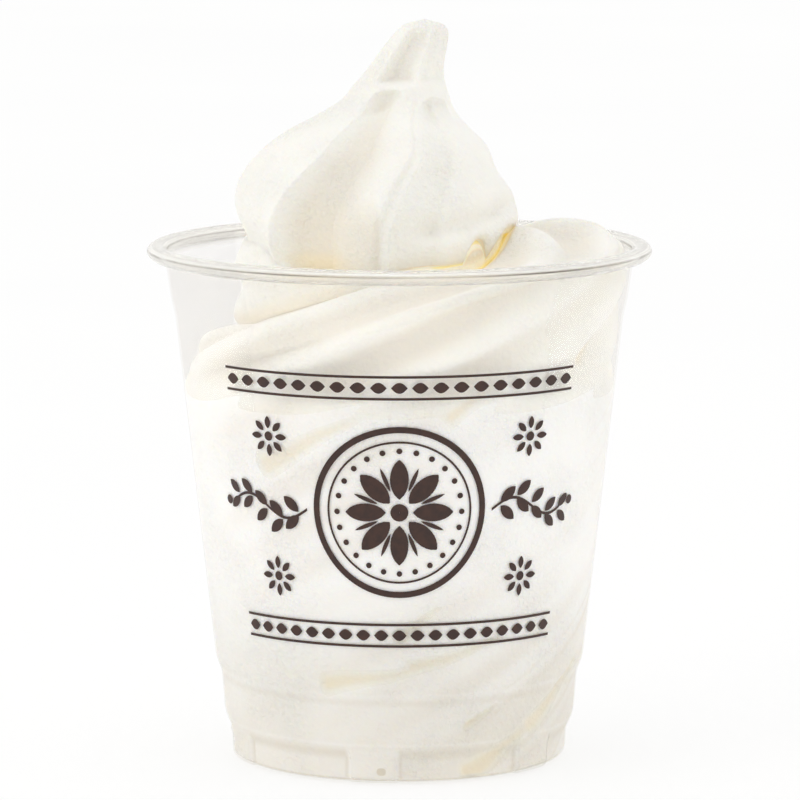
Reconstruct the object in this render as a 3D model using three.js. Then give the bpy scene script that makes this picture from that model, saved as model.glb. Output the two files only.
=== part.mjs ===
// A clear plastic cup filled with soft serve that rises out of it in a fluted, curled crown.
// Millimetres, +Z up. The cup stands on z = 0 with its axis on Z, and -Y is the front.
// A turn is an angle round Z in degrees, from the front towards +X.
import * as THREE from 'three';

// Cup
const rimRadius = 49;
const cupHeight = 100.2;
const wall = 0.55;
const cupOutside = [ // radius and height of the wall's outside, from the foot up
  [32.3, 0.5], [32.6, 1.2], [32.75, 4.9], [33.9, 7.3], [34.3, 8.9], [34.85, 16.1],
  [36, 19.3], [43.3, 84], [43.5, 86], [44.4, 90], [45, 94],
];
const bead = { halfWide: 2, halfHigh: 1.48, from: -120, to: 210, steps: 11 }; // rolled rim
const standRing = { outer: 31.8, inner: 28.6, slope: 0.9 }; // flat ring that the cup stands on
const cupFloor = { lift: 1.1, thick: 0.8, cornerHigh: 0.6, cornerWide: 0.9, cornerIn: 0.5 };
const blocks = { // moulded round the foot, placed in degrees
  count: 6, start: -17.5, turn: 17.5, bevel: 1.3, proud: 0.75, topZ: 6.2,
};
const cupColumns = 60;
const blockColumnsTo = 9; // height up to which the columns follow the blocks' edges
const evenColumnsFrom = 19; // height from which they are evenly spaced

// Soft serve in the cup
const fillGap = 0.35; // between the soft serve and the wall
const bottomRows = [[0.45, 2.3], [0.93, 2.3], [1, 3.4]]; // share of the fill's radius, and height
const bottomSetIn = 0.3;
const wallRows = [4.9, 7.3, 8.9, 16.1, 19.3, 31, 43, 54, 63];
const upperRows = 4; // above them, up to the cream's top at the wall
const flutes = {
  count: 10,
  rise: 0.34, // climb per degree
  valleyZ: 85, // height of one valley at the front
  depth: 3.2,
  valleyPlace: 0.6, // where the valley lies between two crests
  broad: 1.5, // above 1 the valleys are broader than the crests
  setBack: 0.5, // of the open crests from the wall
  pressedZ: 70, // below this the flutes are pressed flat on the wall
  openZ: 81, // above this they are at full depth
};
const lean = { share: 0.55, from: 8, full: 45, fullTo: 110, to: 150, over: 0.4 }; // flatter at the right
const shelf = { // the cream's top inside the rim, higher at the right
  z: 92, swing: 10.5, turn: 22, drop: 6.6, dropSwing: 2.4, width: 19, columnsZ: 90,
};
const shelfRows = [ // share of the way in from the wall, and of the way up to the shelf
  [0.05, 0.4], [0.17, 0.72], [0.36, 0.9], [0.6, 1], [0.84, 0.98],
];
const ridges = { // of the flutes on the shelf, as shares of their depth, and fading towards the crease
  lift: 0.35, inward: 0.6, arch: 0.4, fadeFrom: 0.8, fadeTo: 0.84, left: 0.4,
};

const shelfDip = [ // turn, and how far the shelf sinks beside the crown
  [-180, 0], [-30, 0], [0, 0.5], [15, 1.6], [28, 2], [43, 1.6], [55, 1], [65, 0.1], [75, -1.2],
  [85, -2.3], [95, -2.3], [110, -1.2], [130, -0.4], [160, 0], [180, 0],
];
const lipPlace = [ // turn, and share of the way in where the shelf turns down to the crease
  [-180, 0.86], [0, 0.86], [15, 0.76], [28, 0.6], [43, 0.66], [62, 0.82], [75, 0.88], [180, 0.86],
];

// Coil between the shelf and the crown
const crease = { radius: 25.4, underEdge: 0.9 };
const creaseDrop = [ // turn, and depth of the crease under the shelf
  [-180, 1.5], [-135, 0], [-105, 0.1], [-85, 0.1], [-60, -0.6], [-45, -0.3], [0, 1.5], [28, 3.6],
  [45, 4.4], [62, 3.8], [75, 2.2], [88, 1.6], [105, 1.2], [135, 2], [180, 1.5],
];
const coil = { // rows as shares of its height; tight and notch set the ring under the crown's edge
  rows: [0.2, 0.5, 0.75], start: 0.3, fullAt: 14, bulge: 0.36, tight: 0.5, notch: 0.7, edge: 0.4,
};
const leftCoil = [ // share of the coil's height, and its radius at the left, where a notch draws it in
  [0, 25], [0.2, 27.6], [0.5, 25.9], [0.75, 27.5], [1, 26.4],
];
const leftNotch = { from: -35, full: -75, fullTo: -130, to: -165, rounding: 0.04, high: 2 };

// Crown above the cup
const crown = {
  axisX: -4.7, radius: 27.6, topZ: 143.5, valleyPower: 0.8, // the valleys get shallower as it narrows
  rows: 25, crowding: 0.35, rounding: 0.04, roundingZ: 1.8,
};
const crownProfile = [ // height, radius and axis shift from the cup's axis
  [98, 27.3, -4.7], [104, 27.8, -4.7], [109, 27.5, -4.8], [114, 25, -5.4], [119, 22, -4.4],
  [122.4, 18, -3.8], [125, 14.2, -2.4], [128, 10.8, -0.7], [131, 8.9, 0.1], [135, 7.2, 1.6],
  [138.5, 6.2, 3.2], [141, 5.2, 4.3], [142.6, 3.6, 4.7], [143.5, 0, 4.8],
];
const crownCrests = [ // turn, depth of the valley after it, share of the way where it is down,
  [-100, 1.0, 0.4, 0.6, 1.5], [-46, 5.4, 0.45, 0.55, 0.8], // share where it rises, and how hollow
  [2.5, 0.8, 0.35, 0.45, 1.3], [9, 1.0, 0.72, 0.78, 1.0], [30, 0.9, 0.5, 0.6, 1.5],
  [98, 2.6, 0.4, 0.5, 1.4], [132, 3.2, 0.4, 0.5, 1.3], [176, 3.4, 0.4, 0.5, 1.3],
  [218, 3.0, 0.4, 0.5, 1.3],
];
const valleyBite = 0.75; // below 1 the valleys fall off more steeply from their crests
const crownEdge = [ // turn, and height of the crown's lower edge
  [-130, 102.5], [-90, 100.8], [-60, 101], [-52, 100.2], [-46, 98.3], [-40, 97.2], [-30, 96.9],
  [-12, 97.1], [0, 97.6], [15, 98.2], [27, 98.4], [42, 98.7], [56, 98.9], [61, 100.6], [67, 102.6],
  [75, 102.9], [90, 102.4], [130, 103.2], [180, 103.6],
];
const scallop = { turn: 49.5, wide: 7, high: 3.6, fadeTo: 0.24 }; // hollow under that edge
const twist = { turn: 20, from: 104, to: 123, back: -12 }; // of the crests up the crown and the horn
const foldLine = [ // turn, and height of a fold round the crown's lower right
  [12, 104.2], [26, 104.5], [39, 105.2], [51, 106.1], [64, 107], [80, 107.6], [104, 108],
];
const fold = { // its groove and lip
  from: 12, fromFull: 26, toFull: 79, to: 104, deep: 1.3, under: 1.1, over: 2.6,
  lip: 0.5, lipBelow: 2.2, lipHigh: 1.5,
};
const pockets = [ // rounded dips under the collar
  { turn: -13, z: 127.9, wide: 14, high: 1.7, deep: 1.6 },
  { turn: 46, z: 126, wide: 15, high: 2.1, deep: 1.3 },
];
const collar = { z: 130, soft: 4, valleyShare: 0.15 }; // lip where the drawn-up horn leaves the crown
const horn = { from: 1.2, full: 2.4, endFull: 4, end: 0.3, leastShare: 0.25 }; // flutes, collar to tip
const hornFlutes = [ // concave flutes of the horn
  { turn: -6, wide: 25, deep: 0.36 }, { turn: 54, wide: 30, deep: 0.16 },
  { turn: 130, wide: 34, deep: 0.2 }, { turn: -120, wide: 30, deep: 0.18 },
];
const hornFlat = 3.2; // above 2 a flute has a broader floor and crisper edges
const creamColumns = 60;

const degree = Math.PI / 180;
const clamp01 = (x) => Math.min(1, Math.max(0, x));
const smooth = (from, to, x) => {
  const t = clamp01((x - from) / (to - from));
  return t * t * (3 - 2 * t);
};
const mix = (a, b, t) => a + (b - a) * t;
const bump = (x) => Math.exp(-x * x);
const wrapTurn = (turn) => turn - 360 * Math.round(turn / 360);
const turnFrom = (first, turn) => turn - 360 * Math.floor((turn - first) / 360);

// value of one column of a table at a place, by straight lines between its rows
function along(table, place, key, value) {
  const last = table.length - 1;
  if (place <= table[0][key]) return table[0][value];
  for (let i = 1; i <= last; i++) {
    if (place <= table[i][key]) {
      const t = (place - table[i - 1][key]) / (table[i][key] - table[i - 1][key]);
      return mix(table[i - 1][value], table[i][value], t);
    }
  }
  return table[last][value];
}

// value of one column at a place in the first column, by a smooth curve through the rows
function curveThrough(table, place, value) {
  const last = table.length - 1;
  let i = 1;
  while (i < last && place > table[i][0]) i++;
  const rows = [Math.max(i - 2, 0), i - 1, i, Math.min(i + 1, last)].map((row) => table[row]);
  const [before, from, to, after] = rows;
  const span = to[0] - from[0];
  const t = clamp01((place - from[0]) / span);
  const slopeFrom = (to[value] - before[value]) / Math.max(to[0] - before[0], span);
  const slopeTo = (after[value] - from[value]) / Math.max(after[0] - from[0], span);
  const t2 = t * t;
  const t3 = t2 * t;
  const blendFrom = 2 * t3 - 3 * t2 + 1;
  const bend = (t3 - 2 * t2 + t) * slopeFrom + (t3 - t2) * slopeTo;
  return blendFrom * from[value] + (1 - blendFrom) * to[value] + bend * span;
}

// the same curve, closed round the axis: the rows are turns and values
function curveAround(table, turn) {
  const shifted = (rows, by) => rows.map(([rowTurn, value]) => [rowTurn + by, value]);
  const closed = [...shifted(table.slice(-2), -360), ...table, ...shifted(table.slice(0, 2), 360)];
  return curveThrough(closed, turnFrom(table[0][0], turn), 1);
}

const insideRadius = (z) => along(cupOutside, z, 1, 0) - wall;

// closed surface from rings of points, with one point at each end
function ringSolid(rings, start, end) {
  const columns = rings[0].length;
  const points = [start, ...rings.flat(), end];
  const lastPoint = points.length - 1;
  const index = (row, column) => 1 + row * columns + ((column + columns) % columns);
  const faces = [];
  for (let c = 0; c < columns; c++) faces.push(0, index(0, c + 1), index(0, c));
  for (let row = 0; row < rings.length - 1; row++) {
    for (let c = 0; c < columns; c++) {
      const a = index(row, c);
      const b = index(row, c + 1);
      const d = index(row + 1, c);
      const e = index(row + 1, c + 1);
      const split = points[a].distanceTo(points[e]) <= points[b].distanceTo(points[d]);
      if (split) faces.push(a, b, e, a, e, d);
      else faces.push(a, b, d, b, e, d);
    }
  }
  for (let c = 0; c < columns; c++) {
    faces.push(lastPoint, index(rings.length - 1, c), index(rings.length - 1, c + 1));
  }
  const geometry = new THREE.BufferGeometry().setFromPoints(points);
  geometry.setIndex(faces);
  geometry.computeVertexNormals();
  return geometry;
}

// place at a turn, seen from above, with the centre moved along X
const atTurn = (turn, radius, z, centreX = 0) => new THREE.Vector3(
  centreX + radius * Math.sin(turn * degree),
  -radius * Math.cos(turn * degree),
  z,
);

// ---- cup ----

// columns that follow the edges of the foot blocks
function footTurns() {
  const sector = 360 / blocks.count;
  const perSector = cupColumns / blocks.count;
  const blockEnd = blocks.start + blocks.turn;
  const block = [
    blocks.start, blocks.start + blocks.bevel, blocks.start + blocks.turn / 2,
    blockEnd - blocks.bevel, blockEnd,
  ];
  const isProud = (i) => i > 0 && i < block.length - 1;
  const between = perSector - block.length;
  const turns = [];
  for (let s = 0; s < blocks.count; s++) {
    block.forEach((turn, i) => turns.push({ turn: turn + s * sector, proud: isProud(i) ? 1 : 0 }));
    for (let i = 1; i <= between; i++) {
      const turn = blockEnd + ((sector - blocks.turn) * i) / (between + 1);
      turns.push({ turn: turn + s * sector, proud: 0 });
    }
  }
  return turns;
}

function cupProfile() {
  const outside = cupOutside.map(([radius, z]) => ({ radius, z, foot: z < blocks.topZ }));
  const rolled = [];
  for (let i = 0; i <= bead.steps; i++) {
    const around = mix(bead.from, bead.to, i / bead.steps) * degree;
    rolled.push({
      radius: rimRadius - bead.halfWide * (1 - Math.cos(around)),
      z: cupHeight - bead.halfHigh * (1 - Math.sin(around)),
    });
  }
  const aboveFoot = cupOutside.filter(([, z]) => z >= wallRows[0]);
  const inside = aboveFoot.reverse().map(([radius, z]) => ({ radius: radius - wall, z }));
  const floorZ = cupFloor.lift + cupFloor.thick;
  const cornerRadius = cupOutside[1][0] - wall - cupFloor.cornerIn;
  return [
    { radius: standRing.inner - standRing.slope, z: cupFloor.lift },
    { radius: standRing.inner, z: 0 },
    { radius: standRing.outer, z: 0 },
    ...outside,
    ...rolled,
    ...inside,
    { radius: cornerRadius, z: floorZ + cupFloor.cornerHigh },
    { radius: cornerRadius - cupFloor.cornerWide, z: floorZ },
  ];
}

function cupGeometry() {
  const turns = footTurns();
  const evenStep = 360 / cupColumns;
  const evenStart = Math.round(blocks.start / evenStep) * evenStep;
  const rings = cupProfile().map(({ radius, z, foot }) => {
    const even = smooth(blockColumnsTo, evenColumnsFrom, z);
    return turns.map(({ turn, proud }, i) => {
      const raised = foot ? radius + proud * blocks.proud : radius;
      return atTurn(mix(turn, evenStart + i * evenStep, even), raised, z);
    });
  });
  const start = new THREE.Vector3(0, 0, cupFloor.lift);
  const end = new THREE.Vector3(0, 0, cupFloor.lift + cupFloor.thick);
  return ringSolid(rings, start, end);
}

// ---- soft serve in the cup ----

// depth of the flutes, 0 to 1, at a turn and a distance climbed along the surface
function fluteAt(turn, climbed) {
  const spacing = 360 / flutes.count;
  const phase = (turn - (climbed - flutes.valleyZ) / flutes.rise) / spacing + 1 - flutes.valleyPlace;
  const share = 1 - (phase - Math.floor(phase));
  const half = share < flutes.valleyPlace
    ? (0.5 * share) / flutes.valleyPlace
    : 0.5 + (0.5 * (share - flutes.valleyPlace)) / (1 - flutes.valleyPlace);
  const valley = 0.5 - 0.5 * Math.cos(2 * Math.PI * half);
  return 1 - (1 - valley) ** flutes.broad;
}

const softSide = (turn) =>
  1 - lean.share * smooth(lean.from, lean.full, turn) * (1 - smooth(lean.fullTo, lean.to, turn));
const openness = (z) => smooth(flutes.pressedZ, flutes.openZ, z);
const pressed = (z) => insideRadius(z) - fillGap;

const shelfTop = (turn) => shelf.z + shelf.swing * Math.sin((turn + shelf.turn) * degree);
const wallTop = (turn) => shelfTop(turn) - shelf.drop + shelf.dropSwing * Math.sin(turn * degree);

function wallPoint(turn, share) {
  const z = mix(wallRows.at(-1), wallTop(turn), share);
  const back = flutes.depth * fluteAt(turn, z) * softSide(wrapTurn(turn)) + flutes.setBack;
  return atTurn(turn, pressed(z) - back * openness(z), z);
}

const innerTop = (turn) => shelfTop(turn) - curveThrough(shelfDip, wrapTurn(turn), 1);

// height of the crease that the coil rises from
function creaseZ(turn) {
  const drop = curveThrough(creaseDrop, wrapTurn(turn), 1);
  return Math.min(innerTop(turn) - drop, curveAround(crownEdge, turn) - crease.underEdge);
}

function shelfPoint(turn, inward, upward) {
  const top = wallTop(turn);
  const climbed = top + shelf.width * inward + (1 - inward) * upward * shelf.drop;
  const flute = fluteAt(turn, climbed) * mix(softSide(wrapTurn(turn)), 1, smooth(0, lean.over, inward));
  const lift = (ridges.lift - flute) * flutes.depth;
  const edge = atTurn(turn, pressed(top) - flutes.setBack, 0);
  const point = edge.lerp(atTurn(turn, crease.radius, 0, crown.axisX), inward);
  point.multiplyScalar(1 + ((1 - inward) * ridges.inward * Math.min(lift, 0)) / point.length());
  const fade = mix(1, ridges.left, smooth(ridges.fadeFrom, ridges.fadeTo, inward));
  const arch = mix(1, Math.sin(Math.PI * inward), ridges.arch);
  const high = mix(top, innerTop(turn), upward) + arch * lift * fade;
  const lip = curveThrough(lipPlace, wrapTurn(turn), 1);
  point.z = mix(high, creaseZ(turn), smooth(lip, 1, inward));
  return point;
}

// ---- coil and crown ----

const archAt = (turn) =>
  scallop.high * clamp01(1 - (wrapTurn(turn - scallop.turn) / scallop.wide) ** 2);
const crownEdgeZ = (turn) => curveAround(crownEdge, turn) + archAt(turn);

// how much of the notch at the left is felt at a turn
function leftSide(turn) {
  const { from, full, fullTo, to } = leftNotch;
  return smooth(-from, -full, -wrapTurn(turn)) * (1 - smooth(-fullTo, -to, -wrapTurn(turn)));
}

const twistAt = (z) =>
  twist.turn * smooth(twist.from, twist.to, z) + twist.back * smooth(twist.to - 1, crown.topZ, z);

// depth of the valleys between the crown's crests
function crownValley(turn, z) {
  const first = crownCrests[0][0];
  const local = turnFrom(first, turn - twistAt(z));
  let i = crownCrests.length - 1;
  while (crownCrests[i][0] > local) i--;
  const [from, deep, down, rise, hollow] = crownCrests[i];
  const to = i + 1 < crownCrests.length ? crownCrests[i + 1][0] : first + 360;
  const share = (local - from) / (to - from);
  const falling = Math.sin((Math.PI / 2) * clamp01(share / down)) ** valleyBite;
  const rising = clamp01((share - rise) / (1 - rise)) ** hollow;
  return deep * falling * (1 - rising);
}

function foldDepth(turn, z) {
  const across = smooth(fold.from, fold.fromFull, turn) * (1 - smooth(fold.toFull, fold.to, turn));
  const above = z - curveThrough(foldLine, turn, 1);
  const groove = bump(above / (above < 0 ? fold.under : fold.over));
  const lip = bump((above + fold.lipBelow) / fold.lipHigh);
  return across * (fold.deep * groove - fold.lip * lip);
}

function pocketDepth(turn, z) {
  const depths = pockets.map((pocket) =>
    pocket.deep * bump(wrapTurn(turn - pocket.turn) / pocket.wide) * bump((z - pocket.z) / pocket.high));
  return depths.reduce((sum, depth) => sum + depth, 0);
}

function hornDepth(turn, z) {
  const { from, full, endFull, end } = horn;
  const here = smooth(collar.z + from, collar.z + full, z)
    * (1 - smooth(crown.topZ - endFull, crown.topZ - end, z));
  const shares = hornFlutes.map((flute) =>
    flute.deep * bump(Math.abs(wrapTurn(turn - flute.turn) / flute.wide) ** (hornFlat / 2)));
  return here * shares.reduce((sum, share) => sum + share, 0);
}

function crownRadiusAt(turn, z) {
  const radius = curveThrough(crownProfile, z, 1);
  const belowCollar = 1 - smooth(collar.z - collar.soft, collar.z, z);
  const valley = crownValley(turn, z) * (radius / crown.radius) ** crown.valleyPower;
  const depth = valley * mix(collar.valleyShare, 1, belowCollar)
    + foldDepth(wrapTurn(turn), z) + pocketDepth(turn, z) + radius * hornDepth(turn, z);
  return Math.max(radius - depth, horn.leastShare * radius);
}

const crownAxis = (z) => curveThrough(crownProfile, z, 2);

function coilPoint(turn, share) {
  const [low, high] = [creaseZ(turn), crownEdgeZ(turn) - coil.edge];
  const room = clamp01((high - low) / coil.fullAt);
  const bulge = Math.max(Math.sin(Math.PI * share), 0) ** coil.bulge * room;
  const plain = mix(crease.radius + coil.start * share, crown.radius, bulge);
  const full = mix(plain, along(leftCoil, share, 0, 1), leftSide(turn));
  return atTurn(turn, full, mix(low, high, share), crown.axisX);
}

// the tight ring just under the crown's edge
function notchPoint(turn) {
  const high = crownEdgeZ(turn) - coil.edge;
  const room = clamp01((high - creaseZ(turn)) / coil.fullAt);
  const tight = crease.radius + coil.tight - coil.notch * room;
  return atTurn(turn, tight - coil.edge * crownValley(turn, twist.from), high, crown.axisX);
}

function crownPoint(turn, climb) {
  const low = crownEdgeZ(turn);
  const arch = archAt(turn) * (1 - smooth(0, scallop.fadeTo, climb));
  const z = mix(curveAround(crownEdge, turn), crown.topZ, climb) + arch;
  const left = leftSide(turn);
  const above = (z - low) / (crown.roundingZ + leftNotch.high * left);
  const rounding = 1 - (crown.rounding + leftNotch.rounding * left) * bump(above);
  return atTurn(turn, crownRadiusAt(turn, z) * rounding, z, crownAxis(z));
}

// the rings' columns turn with the flutes, so that crests and valleys run along them
function creamRings() {
  const rings = [];
  const ring = (start, place) => {
    const turns = Array.from({ length: creamColumns }, (_, i) => start + (i * 360) / creamColumns);
    rings.push(turns.map((turn) => place(turn)));
  };
  const climbTurn = (climbed) => (climbed - wallRows[0]) / flutes.rise;
  const bottomRadius = pressed(bottomRows.at(-1)[1]) - bottomSetIn;
  for (const [share, z] of bottomRows) ring(0, (turn) => atTurn(turn, share * bottomRadius, z));
  for (const z of wallRows) ring(climbTurn(z), (turn) => atTurn(turn, pressed(z), z));
  for (let row = 1; row <= upperRows; row++) {
    const share = row / upperRows;
    ring(climbTurn(mix(wallRows.at(-1), shelf.columnsZ, share)), (turn) => wallPoint(turn, share));
  }
  for (const [inward, upward] of shelfRows) {
    ring(climbTurn(shelf.columnsZ + shelf.width * inward), (turn) => shelfPoint(turn, inward, upward));
  }
  const creaseTurn = climbTurn(shelf.columnsZ + shelf.width);
  for (const share of [0, ...coil.rows]) ring(creaseTurn, (turn) => coilPoint(turn, share));
  ring(creaseTurn, notchPoint);
  const lowestZ = Math.min(...crownEdge.map(([, z]) => z));
  for (let row = 1; row <= crown.rows; row++) {
    const share = row / (crown.rows + 1);
    const climb = mix(share, Math.sin((share * Math.PI) / 2), crown.crowding);
    const start = creaseTurn + twistAt(mix(lowestZ, crown.topZ, climb));
    ring(start, (turn) => crownPoint(turn, climb));
  }
  return rings;
}

function creamGeometry() {
  const start = new THREE.Vector3(0, 0, bottomRows[0][1]);
  const end = new THREE.Vector3(crownAxis(crown.topZ), 0, crown.topZ);
  return ringSolid(creamRings(), start, end);
}

const clearPlastic = new THREE.MeshStandardMaterial({
  color: 0xf1f1ee,
  roughness: 0.06,
  metalness: 0,
  transparent: true,
  opacity: 0.35,
});
const softServe = new THREE.MeshStandardMaterial({ color: 0xf3efe4, roughness: 0.55, metalness: 0 });

const cup = new THREE.Mesh(cupGeometry(), clearPlastic);
cup.name = 'cup';

const cream = new THREE.Mesh(creamGeometry(), softServe);
cream.name = 'soft_serve';

const group = new THREE.Group();
group.add(cup, cream);

export default group;
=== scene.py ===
import math
import bmesh
import bpy
import numpy as np
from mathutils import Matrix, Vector


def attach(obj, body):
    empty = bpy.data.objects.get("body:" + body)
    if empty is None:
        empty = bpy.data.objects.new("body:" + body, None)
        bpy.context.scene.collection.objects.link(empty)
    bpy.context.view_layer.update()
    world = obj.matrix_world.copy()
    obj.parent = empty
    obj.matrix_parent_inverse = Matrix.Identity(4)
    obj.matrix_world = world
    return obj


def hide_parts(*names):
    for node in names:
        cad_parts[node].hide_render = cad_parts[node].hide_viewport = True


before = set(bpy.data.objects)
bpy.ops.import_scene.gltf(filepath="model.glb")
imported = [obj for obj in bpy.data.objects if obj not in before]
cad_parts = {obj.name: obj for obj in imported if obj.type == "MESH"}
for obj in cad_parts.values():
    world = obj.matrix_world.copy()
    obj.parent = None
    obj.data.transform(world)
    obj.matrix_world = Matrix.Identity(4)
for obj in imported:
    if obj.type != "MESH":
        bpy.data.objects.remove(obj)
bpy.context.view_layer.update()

scene = bpy.context.scene
mm = 0.001


def clamp01(x):
    return np.clip(x, 0.0, 1.0)


def smooth(start, end, x):
    t = clamp01((x - start) / (end - start))
    return t * t * (3 - 2 * t)


def between(x, start, full, fade, end):
    # rises to 1 from start to full, and falls back to 0 from fade to end
    return smooth(start, full, x) * (1 - smooth(fade, end, x))


def mix(a, b, t):
    return a + (b - a) * t


def bump(x):
    return np.exp(-x * x)


def wrapTurn(turn):
    return turn - 360 * np.round(turn / 360)


def curveThrough(rows, place, value=1):
    # smooth curve through rows that are sorted by their first number
    table = np.array(rows, dtype=float)
    key, val = table[:, 0], table[:, value]
    last = len(key) - 1
    place = np.asarray(place, dtype=float)
    i = np.clip(np.searchsorted(key, place), 1, last)
    before, after = np.maximum(i - 2, 0), np.minimum(i + 1, last)
    span = key[i] - key[i - 1]
    t = clamp01((place - key[i - 1]) / span)
    slopeFrom = (val[i] - val[before]) / np.maximum(key[i] - key[before], span)
    slopeTo = (val[after] - val[i - 1]) / np.maximum(key[after] - key[i - 1], span)
    blendFrom = 2 * t ** 3 - 3 * t ** 2 + 1
    bend = (t ** 3 - 2 * t ** 2 + t) * slopeFrom + (t ** 3 - t ** 2) * slopeTo
    return blendFrom * val[i - 1] + (1 - blendFrom) * val[i] + bend * span


def atTurn(turn, radius, z, centreX=0):
    # points at a turn from the front, seen from above
    angle = np.radians(turn)
    return np.stack([centreX + radius * np.sin(angle), -radius * np.cos(angle), z + 0 * turn], axis=-1)


def waves(seed, count, low, high, *places):
    # soft seeded unevenness, between about -1 and 1, from a few crossing waves
    rng = np.random.default_rng(seed)
    total = 0
    for _ in range(count):
        pitch = rng.uniform(low, high, len(places)) * rng.choice([-1, 1], len(places))
        phase = rng.uniform(0, 2 * math.pi)
        total = total + np.sin(sum(p * q for p, q in zip(places, pitch)) + phase)
    return total / math.sqrt(count * 0.5) * 0.5


def meshPiece(name, bm):
    mesh = bpy.data.meshes.new(name)
    bm.to_mesh(mesh)
    bm.free()
    mesh.polygons.foreach_set("use_smooth", [True] * len(mesh.polygons))
    piece = bpy.data.objects.new(name, mesh)
    scene.collection.objects.link(piece)
    return piece


def wrappedBody(name, bands, columns, place):
    # a grid of bands and columns, rolled round Z and closed at both ends;
    # place gives the points of a band from its number and the turns round the axis
    bm = bmesh.new()
    bmesh.ops.create_grid(bm, x_segments=columns, y_segments=bands, size=0.5)
    piece = meshPiece(name, bm)
    points = readPoints(piece.data)
    bandOf = np.round((points[:, 1] + 0.5) * bands).astype(int)
    turn = np.round((points[:, 0] + 0.5) * columns) % columns * 360 / columns - 180
    for band in range(bands + 1):
        on = np.nonzero(bandOf == band)[0]
        points[on] = place(band, turn[on], on)
    writePoints(piece.data, points * mm)
    return piece


def closeSeams(piece):
    bm = bmesh.new()
    bm.from_mesh(piece.data)
    bmesh.ops.remove_doubles(bm, verts=bm.verts, dist=1e-7)
    bmesh.ops.recalc_face_normals(bm, faces=bm.faces)
    bm.to_mesh(piece.data)
    bm.free()


def readPoints(mesh):
    flat = np.empty(len(mesh.vertices) * 3)
    mesh.vertices.foreach_get("co", flat)
    return flat.reshape(-1, 3)


def writePoints(mesh, points):
    mesh.vertices.foreach_set("co", points.ravel())
    mesh.update()


def pointAttribute(mesh, name, values):
    layer = mesh.attributes.new(name, "FLOAT", "POINT")
    layer.data.foreach_set("value", np.ascontiguousarray(values, dtype=np.float32))


class Maths:
    # a shader socket that takes Python's operators
    def __init__(self, nodes, socket):
        self.nodes, self.socket = nodes, socket

    def math(self, operation, *others):
        values = [self.socket] + [o.socket if isinstance(o, Maths) else o for o in others]
        return self.nodes.add("ShaderNodeMath", {"operation": operation}, dict(enumerate(values)))

    def __add__(self, other):
        return self.math("ADD", other)

    def __mul__(self, other):
        return self.math("MULTIPLY", other)

    def __sub__(self, other):
        return self.math("SUBTRACT", other)

    def __rsub__(self, other):
        return (self * -1) + other

    __radd__ = __add__
    __rmul__ = __mul__

    def smoothstep(self, low, high):
        # the first six inputs of Map Range are Value, From Min, From Max, To Min, To Max and Steps
        return self.nodes.add("ShaderNodeMapRange", {"interpolation_type": "SMOOTHSTEP"},
                              {0: self, 1: low, 2: high})

    def between(self, start, full, fade, end):
        return self.smoothstep(start, full) * (1 - self.smoothstep(fade, end))

    def orLarger(self, other):
        return self.math("MAXIMUM", other)

    def size(self):
        return self.math("ABSOLUTE")

    def axis(self, number):
        return self.nodes.add("ShaderNodeSeparateXYZ", {}, {0: self}, out=number)


class Nodes:
    def __init__(self, name):
        self.material = bpy.data.materials.new(name)
        self.material.use_nodes = True
        self.tree = self.material.node_tree
        self.tree.nodes.clear()
        self.output = self.tree.nodes.new("ShaderNodeOutputMaterial")

    @classmethod
    def inTree(cls, tree):
        nodes = cls.__new__(cls)
        nodes.tree = tree
        return nodes

    def add(self, kind, settings=None, inputs=None, out=0):
        node = self.tree.nodes.new(kind)
        for key, value in (settings or {}).items():
            setattr(node, key, value)
        for key, value in (inputs or {}).items():
            socket = value.socket if isinstance(value, Maths) else value
            if isinstance(socket, bpy.types.NodeSocket):
                self.tree.links.new(socket, node.inputs[key])
            else:
                node.inputs[key].default_value = socket
        return Maths(self, node.outputs[out])

    def colourMix(self, factor, first, second, blend="MIX"):
        # the colour sockets of a Mix node are its 6th and 7th inputs, and its 3rd output
        return self.add("ShaderNodeMix", {"data_type": "RGBA", "blend_type": blend},
                        {0: factor, 6: first, 7: second}, out=2)

    def shaderMix(self, factor, first, second):
        return self.add("ShaderNodeMixShader", {}, {0: factor, 1: first, 2: second})

    def clear(self, colour):
        return self.add("ShaderNodeBsdfTransparent", {}, {"Color": colour})

    def matte(self, colour):
        return self.add("ShaderNodeBsdfDiffuse", {}, {"Color": colour})

    def place(self):
        # Object coordinates, in metres
        return self.add("ShaderNodeTexCoord", out=3)

    def noise(self, place, scale, detail, roughness=0.5):
        return self.add("ShaderNodeTexNoise", {}, {
            "Vector": place, "Scale": scale, "Detail": detail, "Roughness": roughness})

    def finish(self, shader):
        self.tree.links.new(shader.socket, self.output.inputs["Surface"])
        return self.material


def rgb(r, g, b):
    # screen colour, 0 to 255, to the linear colour that a shader takes
    def linear(value):
        value = value / 255
        return value / 12.92 if value <= 0.04045 else ((value + 0.055) / 1.055) ** 2.4
    return (linear(r), linear(g), linear(b), 1)


cameraSettings = {
    "place": (0.000116, -1.0264, 0.2157),
    "down": 8.121,      # degrees below level
    "lens": 239.3,
    "sensor": 36,
}

studio = {
    "backdrop": 1.0,
    "sides": 1.12, "front": 0.7, "back": 0.88,  # the room's brightness: its sides, behind the camera, beyond
    "dimFrom": 0.1, "dimTo": 0.95,      # how far towards the camera, or away, the dimming starts and ends
    "keySize": 0.7, "keyPower": 1.2, "keyPlace": (-0.85, -0.5, 0.6),
    "fillSize": 0.8, "fillPower": 0.32, "fillPlace": (0.85, -0.6, 0.35),
    "lampTarget": (0, 0, 0.08),
    "floorRadius": 6, "floorDrop": 0.0004, "mottleScale": 3,
    "floorGlow": 0.69,                  # the floor scatters a little and glows, so that it stays pale
    "floorTones": [(150, (252, 252, 252)), (152, (255, 255, 254))],     # greys and glows of its mottling
}


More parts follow.
